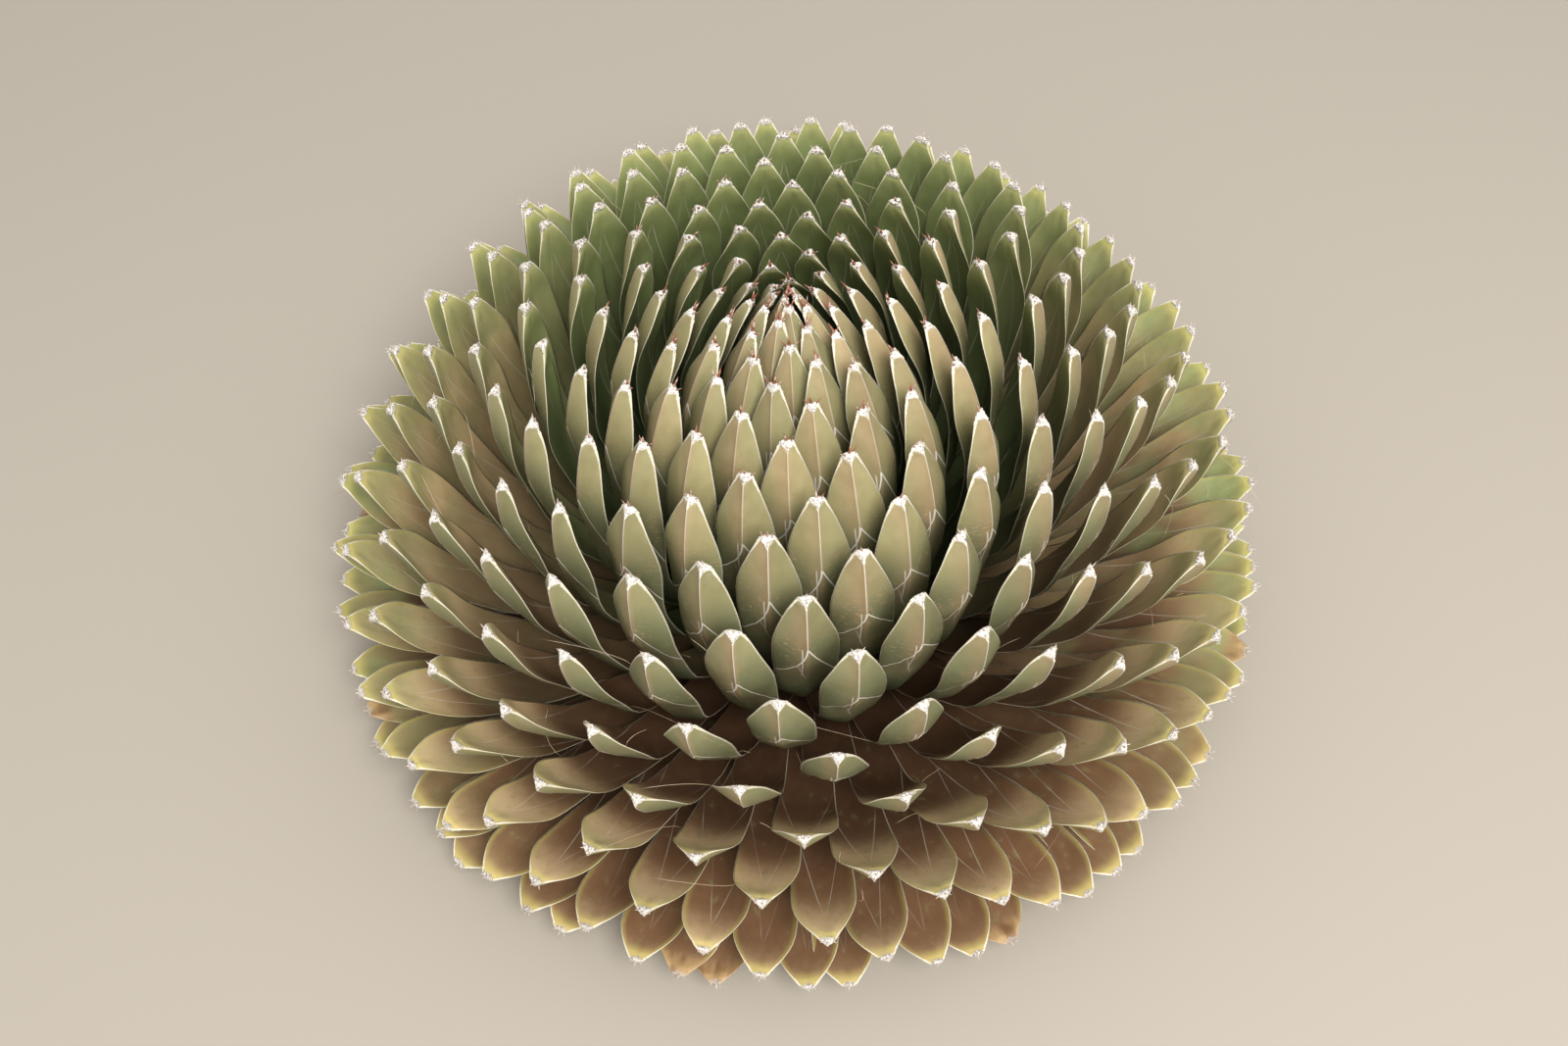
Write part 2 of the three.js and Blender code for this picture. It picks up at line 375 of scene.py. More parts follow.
class Leaf:
    """One leaf's shape: its vertices in metres, and the measures that its material reads."""

    def __init__(self, leaf, random):
        self.age = leaf / OLDEST_LEAF
        self.chance = random.random()
        youth = min(leaf / FULL_SIZE_FROM_LEAF, 1)
        self.size = SMALLEST_BUD_LEAF + (1 - SMALLEST_BUD_LEAF) * youth**GROWTH_POWER
        self.turn = azimuth_of(leaf)
        self.dusty = LEAST_DUST + (1 - LEAST_DUST) * (0.5 - 0.5 * math.sin(self.turn))
        centres, tangents, back = self.follow(midline(leaf))
        across = ACROSS[None, :]

        taper = YOUNG_TAPER - TAPER_DROP * self.age - OLD_TAPER_DROP * self.age**3
        taper *= self.size
        wobble = random.uniform(*SHOULDER_SCATTER, 2)
        left = self.half_width(back / (taper * LEFT_SHOULDER * wobble[0]))
        right = self.half_width(back / (taper * RIGHT_SHOULDER * wobble[1]))
        keel, margin, hollow = (section(c, back / taper) * self.size for c in (2, 3, 4))
        width = np.where(across < 0, left[:, None], right[:, None])
        risen = np.interp(self.age, FORK_RISE_AGES, FORK_RISE)
        self.fork = (FORK_BACK - risen + FORK_SCATTER * (self.chance - 0.5)) * taper
        self.arm_spread = random.uniform(*ARM_SPREAD)
        lower = self.lower_face(back, left, right, keel, margin)
        dent = TIP_CREASE * np.exp(-(((back - CREASE_BACK) / CREASE_LENGTH) ** 2))
        upper = margin[:, None] - (margin + hollow)[:, None] * (1 - across**2)
        upper -= dent[:, None] * np.exp(-((across / CREASE_WIDTH) ** 2))
        height = np.where(ON_LOWER[None, :] > 0, lower, upper)
        sideways = across * width

        crust = (back < CRUST_LENGTH)[None, :, None]
        jitter = random.normal(0, CRUST_ROUGHNESS, (2, RING_COUNT, AROUND)) * crust
        jitter *= 1 - CRUST_WEAR * self.age
        lean = random.uniform(-SIDE_LEAN, SIDE_LEAN) * (back[:, None] / LEAN_BACK) ** 2
        sideways = sideways + jitter[0] + lean
        height = height + jitter[1] + self.margin_wave(leaf, back)

        twist = 2 * TIP_TWIST * scatter(leaf, TWIST_STRIDE) * np.exp(-back[:, None] / TWIST_LENGTH)
        roll = np.radians(LEAF_ROLL * scatter(leaf, ROLL_STRIDE) + twist)
        side = sideways * np.cos(roll) - height * np.sin(roll)
        lift = sideways * np.sin(roll) + height * np.cos(roll)
        rings = self.place(centres, tangents, side, lift)
        ends = self.place(centres[[0, -1]], tangents[[0, -1]], np.zeros((2, 1)), np.zeros((2, 1)))
        self.vertices = np.concatenate([rings.reshape(-1, 3), ends.reshape(-1, 3)]) * MM
        self.tip = ends[0, 0]
        self.tangent = self.turned(tangents[0][0], 0, tangents[0][1])
        self.measures = {
            "side_mm": self.spread(across * width),
            "edge_mm": self.spread((1 - np.abs(across)) * width),
            "tip_mm": self.spread(back[:, None]),
            "past_fork_mm": self.spread(back[:, None] - self.fork),
            "arm_spread": self.spread(np.array([[self.arm_spread]])),
            "outer": self.spread(ON_LOWER[None, :]),
            "age": self.spread(np.array([[self.age]])),
            "dusty": self.spread(np.array([[self.dusty]])),
            "chance": self.spread(np.array([[self.chance]])),
        }

    def follow(self, points):
        """The rings' centres and directions, and their distances back from the tip."""
        t = np.linspace(1, 0, CURVE_STEPS)
        centres, tangents = along_curve(points, t)
        steps = np.linalg.norm(np.diff(centres, axis=0), axis=1)
        gone = np.concatenate([[0], np.cumsum(steps)])
        back = np.array(RINGS + (gone[-1],))
        centres, tangents = along_curve(points, np.interp(back, gone, t))
        return centres, tangents, back

    def half_width(self, back):
        """The outline: nearly straight to an angular shoulder, and rounder on old leaves."""
        roundness = np.interp(self.age, ROUNDING_AGES, ROUNDNESS)
        further = back + roundness * back * np.maximum(1 - back / SHOULDER_BACK, 0)
        return section(1, further) * self.size

    def margin_wave(self, leaf, back):
        """How far a leaf's sides rise and fall along it, each margin in its own rhythm."""
        across = ACROSS[None, :]
        start = 2 * math.pi * scatter(leaf, WAVE_STRIDE) + across
        swing = np.sin(2 * math.pi * back[:, None] / WAVE_LENGTH + start)
        swell = np.clip(back / WAVE_START, 0, 1)[:, None]
        return MARGIN_WAVE * self.size * swell * across**2 * swing

    def lower_face(self, back, left, right, keel, margin):
        """The heights of the outer face: keeled, and pressed flat inside the bud print."""
        across = ACROSS[None, :]
        fullness = FULLNESS_AT_ROOT
        fullness += (FULLNESS_AT_TIP - FULLNESS_AT_ROOT) * np.exp(-back / FULLNESS_FADE)
        rise = (margin + keel)[:, None]

        def profile(x):
            return margin[:, None] - rise * (1 - np.abs(x)) ** fullness[:, None]

        past = np.maximum(back - self.fork, 0)
        arms = [
            np.minimum(self.arm_spread * rate * past**power / half, WIDEST_ARM)[:, None] + 1e-6
            for (rate, power), half in ((LEFT_ARM, left), (RIGHT_ARM, right))
        ]
        share = np.clip((across + arms[0]) / (arms[0] + arms[1]), 0, 1)
        flat = profile(arms[0]) * (1 - share) + profile(arms[1]) * share
        inside = (across > -arms[0]) & (across < arms[1])
        near, far = PRINT_FADE
        press = PRINT_PRESS * np.clip((far - back) / (far - near), 0, 1)[:, None]
        lower = profile(across)
        beaded = (back > BEAD_START) & (back < self.fork)
        bead = KEEL_BEAD * (across == 0) * beaded[:, None]
        return lower + inside * press * (flat - lower) - bead

    def spread(self, values):
        """A value for each ring and point, with the two end points after them."""
        filled = np.broadcast_to(values, (RING_COUNT, AROUND))
        return np.concatenate([filled.ravel(), [filled[0].mean(), filled[-1].mean()]])

    def turned(self, outward, sideways, height):
        """A point or direction in the leaf's plane, turned to the leaf's place on the plant."""
        c, s = math.cos(self.turn), math.sin(self.turn)
        parts = [outward * c - sideways * s, outward * s + sideways * c, height + 0 * outward]
        return np.stack(np.broadcast_arrays(*parts), axis=-1)

    def place(self, centres, tangents, side, lift):
        outward = centres[:, :1] - tangents[:, 1:] * lift
        height = centres[:, 1:] + tangents[:, :1] * lift
        return self.turned(outward, side, height)


def mesh_object(name, vertices, faces, measures):
    """A mesh object from arrays of vertices, faces and a value of each measure for each vertex."""
    mesh = bpy.data.meshes.new(name)
    mesh.from_pydata(vertices.tolist(), [], faces)
    for key, values in measures.items():
        attribute = mesh.attributes.new(key, "FLOAT", "POINT")
        attribute.data.foreach_set("value", np.asarray(values, np.float32))
    mesh.polygons.foreach_set("use_smooth", [True] * len(mesh.polygons))
    obj = bpy.data.objects.new(name, mesh)
    bpy.context.scene.collection.objects.link(obj)
    return obj


def leaf_piece(name, leaves):
    """Some leaves as one mesh, each with its own patch of the picture that is baked from it."""
    count = len(leaves[0].vertices)
    vertices = np.concatenate([leaf.vertices for leaf in leaves])
    faces = [tuple(v + n * count for v in face) for n in range(len(leaves)) for face in FACES]
    keys = leaves[0].measures
    measures = {key: np.concatenate([leaf.measures[key] for leaf in leaves]) for key in keys}
    piece = mesh_object(name, vertices, faces, measures)
    columns = math.ceil(len(leaves) / PATCH_ROWS)
    cells = []
    for n in range(len(leaves)):
        corner = np.array([n % columns, n // columns])
        patch = corner + PATCH_INSET + (1 - 2 * PATCH_INSET) * CORNERS
        cells.append(patch / np.array([columns, PATCH_ROWS]))
    layer = piece.data.uv_layers.new(name="OFBake")
    layer.data.foreach_set("uv", np.concatenate(cells).astype(np.float32).ravel())
    return piece


def srgb(red, green, blue):
    """A colour given as 0 to 255 on screen, as the linear values that shaders take."""
    parts = [c / 255 for c in (red, green, blue)]
    linear = [c / 12.92 if c <= 0.04045 else ((c + 0.055) / 1.055) ** 2.4 for c in parts]
    return (*linear, 1)


class Shader:
    """A material's node tree, built by short calls that each return a socket."""

    def __init__(self, name):
        self.material = bpy.data.materials.new(name)
        self.material.use_nodes = True
        self.tree = self.material.node_tree
        self.surface = self.tree.nodes["Principled BSDF"]

    def put(self, socket, value):
        if isinstance(value, bpy.types.NodeSocket):
            self.tree.links.new(value, socket)
        else:
            socket.default_value = value

    def attribute(self, name):
        node = self.tree.nodes.new("ShaderNodeAttribute")
        node.attribute_name = name
        return node.outputs["Fac"]

    def object_space(self):
        return self.tree.nodes.new("ShaderNodeTexCoord").outputs["Object"]

    def math(self, operation, *values):
        node = self.tree.nodes.new("ShaderNodeMath")
        node.operation = operation
        for socket, value in zip(node.inputs, values):
            self.put(socket, value)
        return node.outputs[0]

    def times(self, *values):
        result = values[0]
        for value in values[1:]:
            result = self.math("MULTIPLY", result, value)
        return result

    def fade(self, value, start, end, low=0.0, high=1.0):
        """Goes smoothly from low to high as the value goes from start to end."""
        node = self.tree.nodes.new("ShaderNodeMapRange")
        node.interpolation_type = "SMOOTHSTEP"
        for key, given in zip(("Value", "From Min", "From Max"), (value, start, end)):
            self.put(node.inputs[key], given)
        self.put(node.inputs["To Min"], low)
        self.put(node.inputs["To Max"], high)
        return node.outputs["Result"]

    def mix(self, share, first, second):
        node = self.tree.nodes.new("ShaderNodeMix")
        node.data_type = "RGBA"
        self.put(node.inputs["Factor"], share)
        self.put(node.inputs[6], first)
        self.put(node.inputs[7], second)
        return node.outputs[2]

    def point(self, x, y, z):
        node = self.tree.nodes.new("ShaderNodeCombineXYZ")
        for socket, value in zip(node.inputs, (x, y, z)):
            self.put(socket, value)
        return node.outputs[0]

    def noise(self, where, scale=1.0, detail=2.0, roughness=0.5):
        node = self.tree.nodes.new("ShaderNodeTexNoise")
        self.put(node.inputs["Vector"], where)
        self.put(node.inputs["Scale"], scale)
        self.put(node.inputs["Detail"], detail)
        self.put(node.inputs["Roughness"], roughness)
        return node.outputs["Fac"]

    def bump(self, height, strength, distance):
        node = self.tree.nodes.new("ShaderNodeBump")
        self.put(node.inputs["Height"], height)
        self.put(node.inputs["Strength"], strength)
        self.put(node.inputs["Distance"], distance)
        self.put(self.surface.inputs["Normal"], node.outputs[0])

    def finish(self, colour, roughness):
        self.put(self.surface.inputs["Base Color"], colour)
        self.put(self.surface.inputs["Roughness"], roughness)
        return self.material


# Colours as seen on screen: the leaves, dust and horn, the spines and dry tips, stem and floor.
CREAM = srgb(146, 139, 104)
PALE_OLIVE = srgb(130, 128, 96)
GREY_GREEN = srgb(114, 117, 89)
DEEP_GREEN = srgb(120, 127, 97)
INNER_OLIVE = srgb(150, 155, 108)
INNER_GREEN = srgb(128, 140, 94)
# Painted shade: the upper face's green as it looks deep in the rosette.
INNER_GREEN_IN_PAINTED_SHADE = srgb(118, 129, 88)
INNER_PALE = srgb(166, 176, 130)
SIDE_TAN = srgb(194, 172, 134)
SIDE_BROWN = srgb(150, 122, 92)
# Painted shade: the dust at the sides as it looks deep down in shade.
SIDE_BROWN_IN_PAINTED_SHADE = srgb(114, 90, 70)
PEACH = srgb(162, 138, 110)
YELLOW_OLIVE = srgb(182, 172, 100)
DUST_TAN = srgb(210, 186, 150)
DUST_BROWN = srgb(123, 95, 71)
# Painted shade: the dust in front as it looks deep down in shade.
DUST_IN_PAINTED_SHADE = srgb(104, 79, 59)
HORN_WHITE = srgb(214, 210, 202)
MARGIN_WHITE = srgb(206, 200, 182)
HORN_GREY = srgb(118, 110, 104)
FLECK = srgb(186, 150, 116)
SPINE_BROWN = srgb(128, 76, 56)
PRONG_GREY = srgb(168, 156, 146)
STRAW = srgb(170, 142, 106)
STRAW_BROWN = srgb(116, 86, 62)
BARK = srgb(112, 84, 60)
BARK_DARK = srgb(64, 46, 33)
CUT_WOOD = srgb(186, 160, 118)
CUT_RIND = srgb(132, 96, 62)
FLOOR_GREY = srgb(150, 144, 134)

# The white lines in millimetres: half their widths, and where the faint ones lie. The keel's is
# wider under the cap, and a margin's varies along it and is wider at the tip.
KEEL_LINE = (0.15, 0.8)
LEFT_ARM_LINE = 0.42
RIGHT_ARM_LINE = 0.38
CENTRE_LINE = 0.34
CENTRE_ASIDE = 2.5
SLANT_LINE = 0.3
SLANT_RATE = 0.2
SLANT_ASIDE = 9
INNER_LINE = 0.3
INNER_LINE_START = 20
INNER_LINE_RATE = 0.16
MARGIN_LINE = (0.28, 0.6)
MARGIN_AT_TIP = 0.5

# Where the cap and a dry tip fade out, as distances back from the leaf's tip.
CAP_EDGE = (4.1, 3.3)
DRY_TIP_EDGE = (19, 11)

# The depths in metres of the finest relief, on the leaves and on the bark.
LEAF_RELIEF = 0.0006
BARK_RELIEF = 0.0015


class LeafSkin(Shader):
    """The leaf material: every mark is drawn from the measures that the leaves carry."""

    def __init__(self):
        super().__init__("leaf_skin")
        self.age = self.attribute("age")
        self.chance = self.attribute("chance")
        self.side = self.attribute("side_mm")
        self.aside = self.math("ABSOLUTE", self.side)
        self.edge = self.attribute("edge_mm")
        self.tip = self.attribute("tip_mm")
        self.past = self.attribute("past_fork_mm")
        self.arm_spread = self.attribute("arm_spread")
        self.outer = self.attribute("outer")
        self.dusty = self.attribute("dusty")
        self.cloud = self.leaf_noise(0.03, 0.02, 2)
        self.mottle = self.leaf_noise(0.2, 0.1, 3)
        self.streak = self.leaf_noise(0.12, 0.04, 3)
        self.grain = self.leaf_noise(1.6, 1.2, 2)

    def leaf_noise(self, across, along, detail):
        """Noise laid out on each leaf, in repeats for each millimetre across and along it."""
        x = self.times(self.side, across)
        y = self.times(self.tip, along)
        z = self.math("ADD", self.times(self.chance, 97), self.times(self.outer, 13))
        return self.noise(self.point(x, y, z), detail=detail)

    def about(self, noise, size):
        """The noise as an offset from -size to size."""
        return self.times(self.math("SUBTRACT", noise, 0.5), 2 * size)

    def outer_face(self):
        """Cream to olive at the tip, greener towards the root, peach beside the keel."""
        down = self.math("ADD", self.tip, self.about(self.mottle, 14))
        down = self.math("ADD", down, self.times(self.fade(self.age, 0.42, 0.12), -30))
        top = self.mix(self.fade(self.age, 0.12, 0.04, 0, 0.6), CREAM, PALE_OLIVE)
        top = self.mix(self.fade(self.age, 0.15, 0.4), top, PALE_OLIVE)
        top = self.mix(self.fade(self.age, 0.5, 0.8, 0, 0.6), top, YELLOW_OLIVE)
        face = self.mix(self.fade(down, 2, 40), top, GREY_GREEN)
        face = self.mix(self.fade(down, 45, 95), face, DEEP_GREEN)
        band = self.times(self.fade(self.side, -11, -1.5), self.fade(self.side, 2.5, 0))
        seen = self.fade(self.tip, 95, 50)
        band = self.times(band, seen, self.fade(self.cloud, 0.25, 0.6, 0.3, 1))
        face = self.mix(self.times(band, 0.5), face, PEACH)
        blush = self.times(self.fade(self.cloud, 0.52, 0.68), self.fade(self.tip, 100, 40))
        return self.mix(self.times(blush, 0.2), face, PEACH)

    def inner_face(self):
        """Green, yellow at the rim with age; dust tan at the sides, brown in front; painted shade
        towards the root.
        """
        green = self.mix(self.fade(self.age, 0.5, 0.66, 0, 0.8), INNER_GREEN, INNER_PALE)
        face = self.mix(self.fade(self.tip, 3, 30), INNER_OLIVE, green)
        # Young leaves' upper faces darken towards the root as painted shade; old ones turn paler
        # there.
        root_colour_with_painted_shade = self.mix(self.fade(self.age, 0.4, 0.62, 0, 0.8), INNER_GREEN_IN_PAINTED_SHADE, INNER_PALE)
        face = self.mix(self.fade(self.tip, 30, 90), face, root_colour_with_painted_shade)
        grown = self.fade(self.age, 0.24, 0.4)
        tan = self.mix(self.fade(self.age, 0.55, 0.85), SIDE_TAN, SIDE_BROWN)
        # The dust at the sides darkens towards the root: painted shade.
        deep = self.times(self.fade(self.tip, 30, 76), self.fade(self.age, 0.5, 0.7, 0.3, 1))
        tan = self.mix(deep, tan, SIDE_BROWN_IN_PAINTED_SHADE)
        cover = self.times(self.fade(self.dusty, 0.1, 0.5), grown)
        cover = self.times(cover, self.fade(self.tip, 12, 50, 0.4, 1))
        patches = self.fade(self.cloud, 0.38, 0.56, self.fade(self.age, 0.5, 0.75, 0.7, 0.1), 1)
        face = self.mix(self.times(cover, patches), face, tan)
        depth = self.math("ADD", self.tip, self.about(self.mottle, 10))
        depth = self.math("ADD", depth, self.fade(self.age, 0.56, 0.88, -22, 38))
        dust = self.mix(self.fade(depth, 12, 60), DUST_TAN, DUST_BROWN)
        # Real dust, darkened towards the root by painted shade.
        dust = self.mix(self.fade(self.tip, 48, 100), dust, DUST_IN_PAINTED_SHADE)
        front = self.times(self.fade(self.dusty, 0.55, 0.95), grown)
        face = self.mix(self.times(front, self.fade(depth, 0, 30, 0.5, 1)), face, dust)
        rim = self.times(self.fade(self.edge, 4, 0.4), self.fade(self.tip, 75, 25))
        rim = self.math("MAXIMUM", rim, self.fade(self.tip, 11, 4))
        rim = self.times(rim, self.fade(self.age, 0.3, 0.7))
        blotch = self.fade(self.mottle, 0.62, 0.7)
        blotch = self.times(blotch, self.fade(self.age, 0.4, 0.6, 0, 0.3))
        face = self.mix(blotch, face, INNER_GREEN)
        return self.mix(self.times(rim, 0.5), face, YELLOW_OLIVE)

    def line(self, distance, half_width):
        """A thin soft-edged line where the distance is near 0."""
        return self.fade(self.math("ABSOLUTE", distance), half_width * 1.5, half_width * 0.5)

    def beside_arm(self, rate, power, sign):
        """How far a place lies to the right of one of the fork's arms."""
        reach = self.math("POWER", self.math("MAXIMUM", self.past, 0), power)
        return self.math("SUBTRACT", self.side, self.times(reach, self.arm_spread, rate * sign))

    def arms(self):
        """The lines of the fork's two arms, and the share of the space between them."""
        left = self.beside_arm(*LEFT_ARM, -1)
        right = self.beside_arm(*RIGHT_ARM, 1)
        left_line = self.line(left, LEFT_ARM_LINE)
        lines = self.math("MAXIMUM", left_line, self.line(right, RIGHT_ARM_LINE))
        seen = self.times(self.fade(self.past, -1, 1), self.fade(self.past, 60, 35))
        between = self.times(self.fade(left, 0, 2), self.fade(right, 0, -2), seen)
        return self.times(lines, seen), between

    def print_lines(self):
        """The keel's white line down to its fork, the fork's two arms, and fainter lines below."""
        keel_end = self.fade(self.past, 3, -3)
        flare = self.fade(self.tip, 6, 3, *KEEL_LINE)
        keel = self.fade(self.math("SUBTRACT", self.aside, flare), 0.3, -0.2)
        keel = self.times(keel, keel_end, self.fade(self.age, 0.1, 0.3, 0.35, 1))
        arms, between = self.arms()
        below = self.times(self.fade(self.past, 0, 3), self.fade(self.past, 42, 28))
        centre = self.line(self.math("ADD", self.side, CENTRE_ASIDE), CENTRE_LINE)
        centre = self.times(centre, below, 0.7)
        middle = self.math("SUBTRACT", self.times(self.past, SLANT_RATE), SLANT_ASIDE)
        slant = self.math("SUBTRACT", self.side, middle)
        slant_seen = self.times(self.fade(self.past, 18, 24), self.fade(self.past, 46, 36), 0.45)
        slanting = self.times(self.line(slant, SLANT_LINE), slant_seen)
        lines = self.math("MAXIMUM", keel, arms)
        lines = self.math("MAXIMUM", lines, self.math("MAXIMUM", centre, slanting))
        return self.times(lines, self.outer), self.times(between, self.outer)

    def inner_lines(self):
        """Faint pale lines that the next leaves' margins left on the upper face."""
        reach = self.times(self.math("SUBTRACT", self.tip, INNER_LINE_START), INNER_LINE_RATE)
        spread = self.math("SUBTRACT", self.aside, reach)
        seen = self.times(self.fade(self.tip, 20, 30), self.fade(self.tip, 130, 90))
        seen = self.times(seen, self.fade(self.age, 0.72, 0.84, 1, 0.3))
        line = self.line(spread, INNER_LINE)
        line = self.times(line, seen, self.fade(self.cloud, 0.4, 0.6, 0.12, 0.42))
        return self.times(line, self.math("SUBTRACT", 1, self.outer))

    def toned(self, face):
        """The face, a little lighter or darker from leaf to leaf and from patch to patch."""
        tone = self.fade(self.chance, 0, 1, 0.9, 1.08)
        shade = self.times(tone, self.fade(self.mottle, 0.2, 0.8, 0.92, 1.06))
        hue = self.tree.nodes.new("ShaderNodeHueSaturation")
        self.put(hue.inputs["Value"], shade)
        self.put(hue.inputs["Color"], face)
        return hue.outputs[0]

    def flecked(self, face):
        """The face with short rusty flecks on its outer side, some way behind the cap."""
        dash = self.fade(self.leaf_noise(0.35, 1.1, 0), 0.69, 0.73)
        zone = self.times(self.fade(self.tip, 22, 45), self.fade(self.tip, 110, 80), self.outer)
        flecks = self.times(dash, zone, self.fade(self.cloud, 0.35, 0.6), 0.8)
        return self.mix(flecks, face, FLECK)

    def margin_share(self):
        """How much of the colour is the margins' white horn."""
        width = self.fade(self.grain, 0.2, 0.8, *MARGIN_LINE)
        width = self.math("ADD", width, self.fade(self.tip, 14, 4, 0, MARGIN_AT_TIP))
        margin = self.fade(self.math("SUBTRACT", self.edge, width), 0.25, -0.15)
        return self.times(margin, self.fade(self.tip, 190, 120))

    def ragged_tip(self):
        """The distance back from the tip, made uneven, and larger at the sides and with age."""
        ragged = self.math("ADD", self.tip, self.about(self.grain, 1.6))
        ragged = self.math("ADD", ragged, self.times(self.math("MINIMUM", self.aside, 4), 0.35))
        return self.math("ADD", ragged, self.fade(self.age, 0.45, 0.8, 0, 1.2))

    def horn(self):
        """The cap's colour: white, and grey in its pits and with age."""
        pit = self.times(self.fade(self.grain, 0.56, 0.4), self.fade(self.outer, 0.6, 0.4, 0.7, 1))
        pit = self.math("MAXIMUM", pit, self.fade(self.age, 0.4, 0.9, 0, 0.45))
        return self.mix(pit, HORN_WHITE, HORN_GREY)

    def dried(self, colour, ragged, cap):
        """The colour with dry papery tips on some of the oldest leaves."""
        dry = self.times(self.fade(self.age, 0.86, 0.88), self.fade(self.chance, 0.7, 0.72))
        dry = self.times(dry, self.fade(ragged, *DRY_TIP_EDGE))
        paper = self.mix(self.fade(self.streak, 0.35, 0.65), STRAW, STRAW_BROWN)
        return self.mix(self.times(dry, self.fade(cap, 0, 1, 0.85, 0.4)), colour, paper)

    def build(self):
        face = self.mix(self.outer, self.inner_face(), self.outer_face())
        face = self.flecked(self.toned(face))
        margin = self.margin_share()
        print_lines, between = self.print_lines()
        face = self.mix(self.times(between, 0.15), face, PEACH)
        lines = self.math("MAXIMUM", print_lines, self.inner_lines())
        white = self.math("MAXIMUM", margin, lines)
        colour = self.mix(lines, face, HORN_WHITE)
        colour = self.mix(margin, colour, MARGIN_WHITE)
        ragged = self.ragged_tip()
        cap = self.fade(ragged, *CAP_EDGE)
        colour = self.mix(cap, colour, self.horn())
        colour = self.dried(colour, ragged, cap)

        dull = self.fade(self.mottle, 0.3, 0.7, 0.46, 0.6)
        dull = self.math("MAXIMUM", dull, self.times(cap, 0.8))
        relief = self.math("ADD", self.times(self.grain, 0.2), self.times(white, 0.8))
        relief = self.math("ADD", relief, self.times(cap, self.grain, 1.6))
        self.bump(relief, 0.4, LEAF_RELIEF)
        return self.finish(colour, dull)


def cone(root, heading, reach, radius):
    """A thin cone with a waist, as vertices and faces."""
    heading = heading / np.linalg.norm(heading)
    one = np.cross(heading, ODD_DIRECTION)
    one = one / np.linalg.norm(one)
    two = np.cross(heading, one)
    vertices = []
    faces = [tuple(reversed(range(CONE_SIDES)))]
    for share, thick in ((0, 1), CONE_WAIST):
        for i in range(CONE_SIDES):
            turn = 2 * math.pi * i / CONE_SIDES
            out = one * math.cos(turn) + two * math.sin(turn)
            vertices.append(root + heading * reach * share + out * radius * thick)
    vertices.append(root + heading * reach)
    for i in range(CONE_SIDES):
        j = (i + 1) % CONE_SIDES
        faces.append((i, j, CONE_SIDES + j, CONE_SIDES + i))
        faces.append((CONE_SIDES + i, CONE_SIDES + j, 2 * CONE_SIDES))
    return vertices, faces


def spines_of(leaf, random):
    """A leaf's end spine and its small side prongs: roots, headings, lengths and radii."""
    youth = max(1 - leaf.age / YOUNG_UNTIL_AGE, 0)
    length = random.uniform(*SPINE_LENGTH) + YOUNG_SPINE_LENGTH * youth
    across = leaf.turned(0.0, 1.0, 0.0)
    above = np.cross(leaf.tangent, across)
    root = leaf.tip - leaf.tangent * SPINE_SUNK
    bend = above * random.uniform(-SPINE_BEND, SPINE_BEND)
    bend = bend + across * random.uniform(-SPINE_BEND, SPINE_BEND)
    radius = SPINE_RADIUS + YOUNG_SPINE_RADIUS * youth
    found = [(root, leaf.tangent + bend, length + SPINE_SUNK, radius)]
    for side in (-1, 1):
        if random.random() < PRONG_CHANCE:
            lean = across * side * random.uniform(*PRONG_LEAN)
            lean = lean + above * random.uniform(*PRONG_LIFT)
            start = root + across * side * PRONG_ASIDE * leaf.size
            reach = length * random.uniform(*PRONG_SHARE) + PRONG_SUNK
            found.append((start, leaf.tangent + lean, reach, PRONG_RADIUS))
    return found


def spine_material():
    s = Shader("spine_horn")
    where = s.object_space()
    colour = s.mix(s.fade(s.attribute("age"), 0.16, 0.4), SPINE_BROWN, PRONG_GREY)
    colour = s.mix(s.fade(s.noise(where, 500), 0.45, 0.7, 0, 0.5), colour, HORN_WHITE)
    return s.finish(colour, s.fade(s.noise(where, 800), 0.3, 0.7, 0.4, 0.6))


def make_leaves():
    """Every leaf, in pieces of neighbours in age, each standing for its leaf node."""
    random = np.random.default_rng(SEED)
    leaves = [Leaf(n, random) for n in range(LEAF_COUNT)]
    skin = LeafSkin().build()
    first = 0
    number = 1
    while first < LEAF_COUNT:
        young = first < FIRST_OLD_LEAF
        count = YOUNG_LEAVES_PER_PIECE if young else OLD_LEAVES_PER_PIECE
        last = min(first + count, FIRST_OLD_LEAF if young else LEAF_COUNT)
        piece = leaf_piece(f"leaf_whorl_{number:02d}", leaves[first:last])
        piece.data.materials.append(skin)
        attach(piece, "root")
        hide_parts("young_leaves" if young else "old_leaves")
        first = last
        number += 1
    return leaves, random


def make_spines(leaves, random):
    vertices = []
    faces = []
    ages = []
    for leaf in leaves:
        for root, heading, reach, radius in spines_of(leaf, random):
            more, more_faces = cone(root, heading, reach, radius)
            faces.extend(tuple(v + len(vertices) for v in face) for face in more_faces)
            vertices.extend(more)
            ages.extend([leaf.age] * len(more))
    piece = mesh_object("leaf_spines", np.array(vertices) * MM, faces, {"age": ages})
    piece.data.materials.append(spine_material())
    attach(piece, "root")


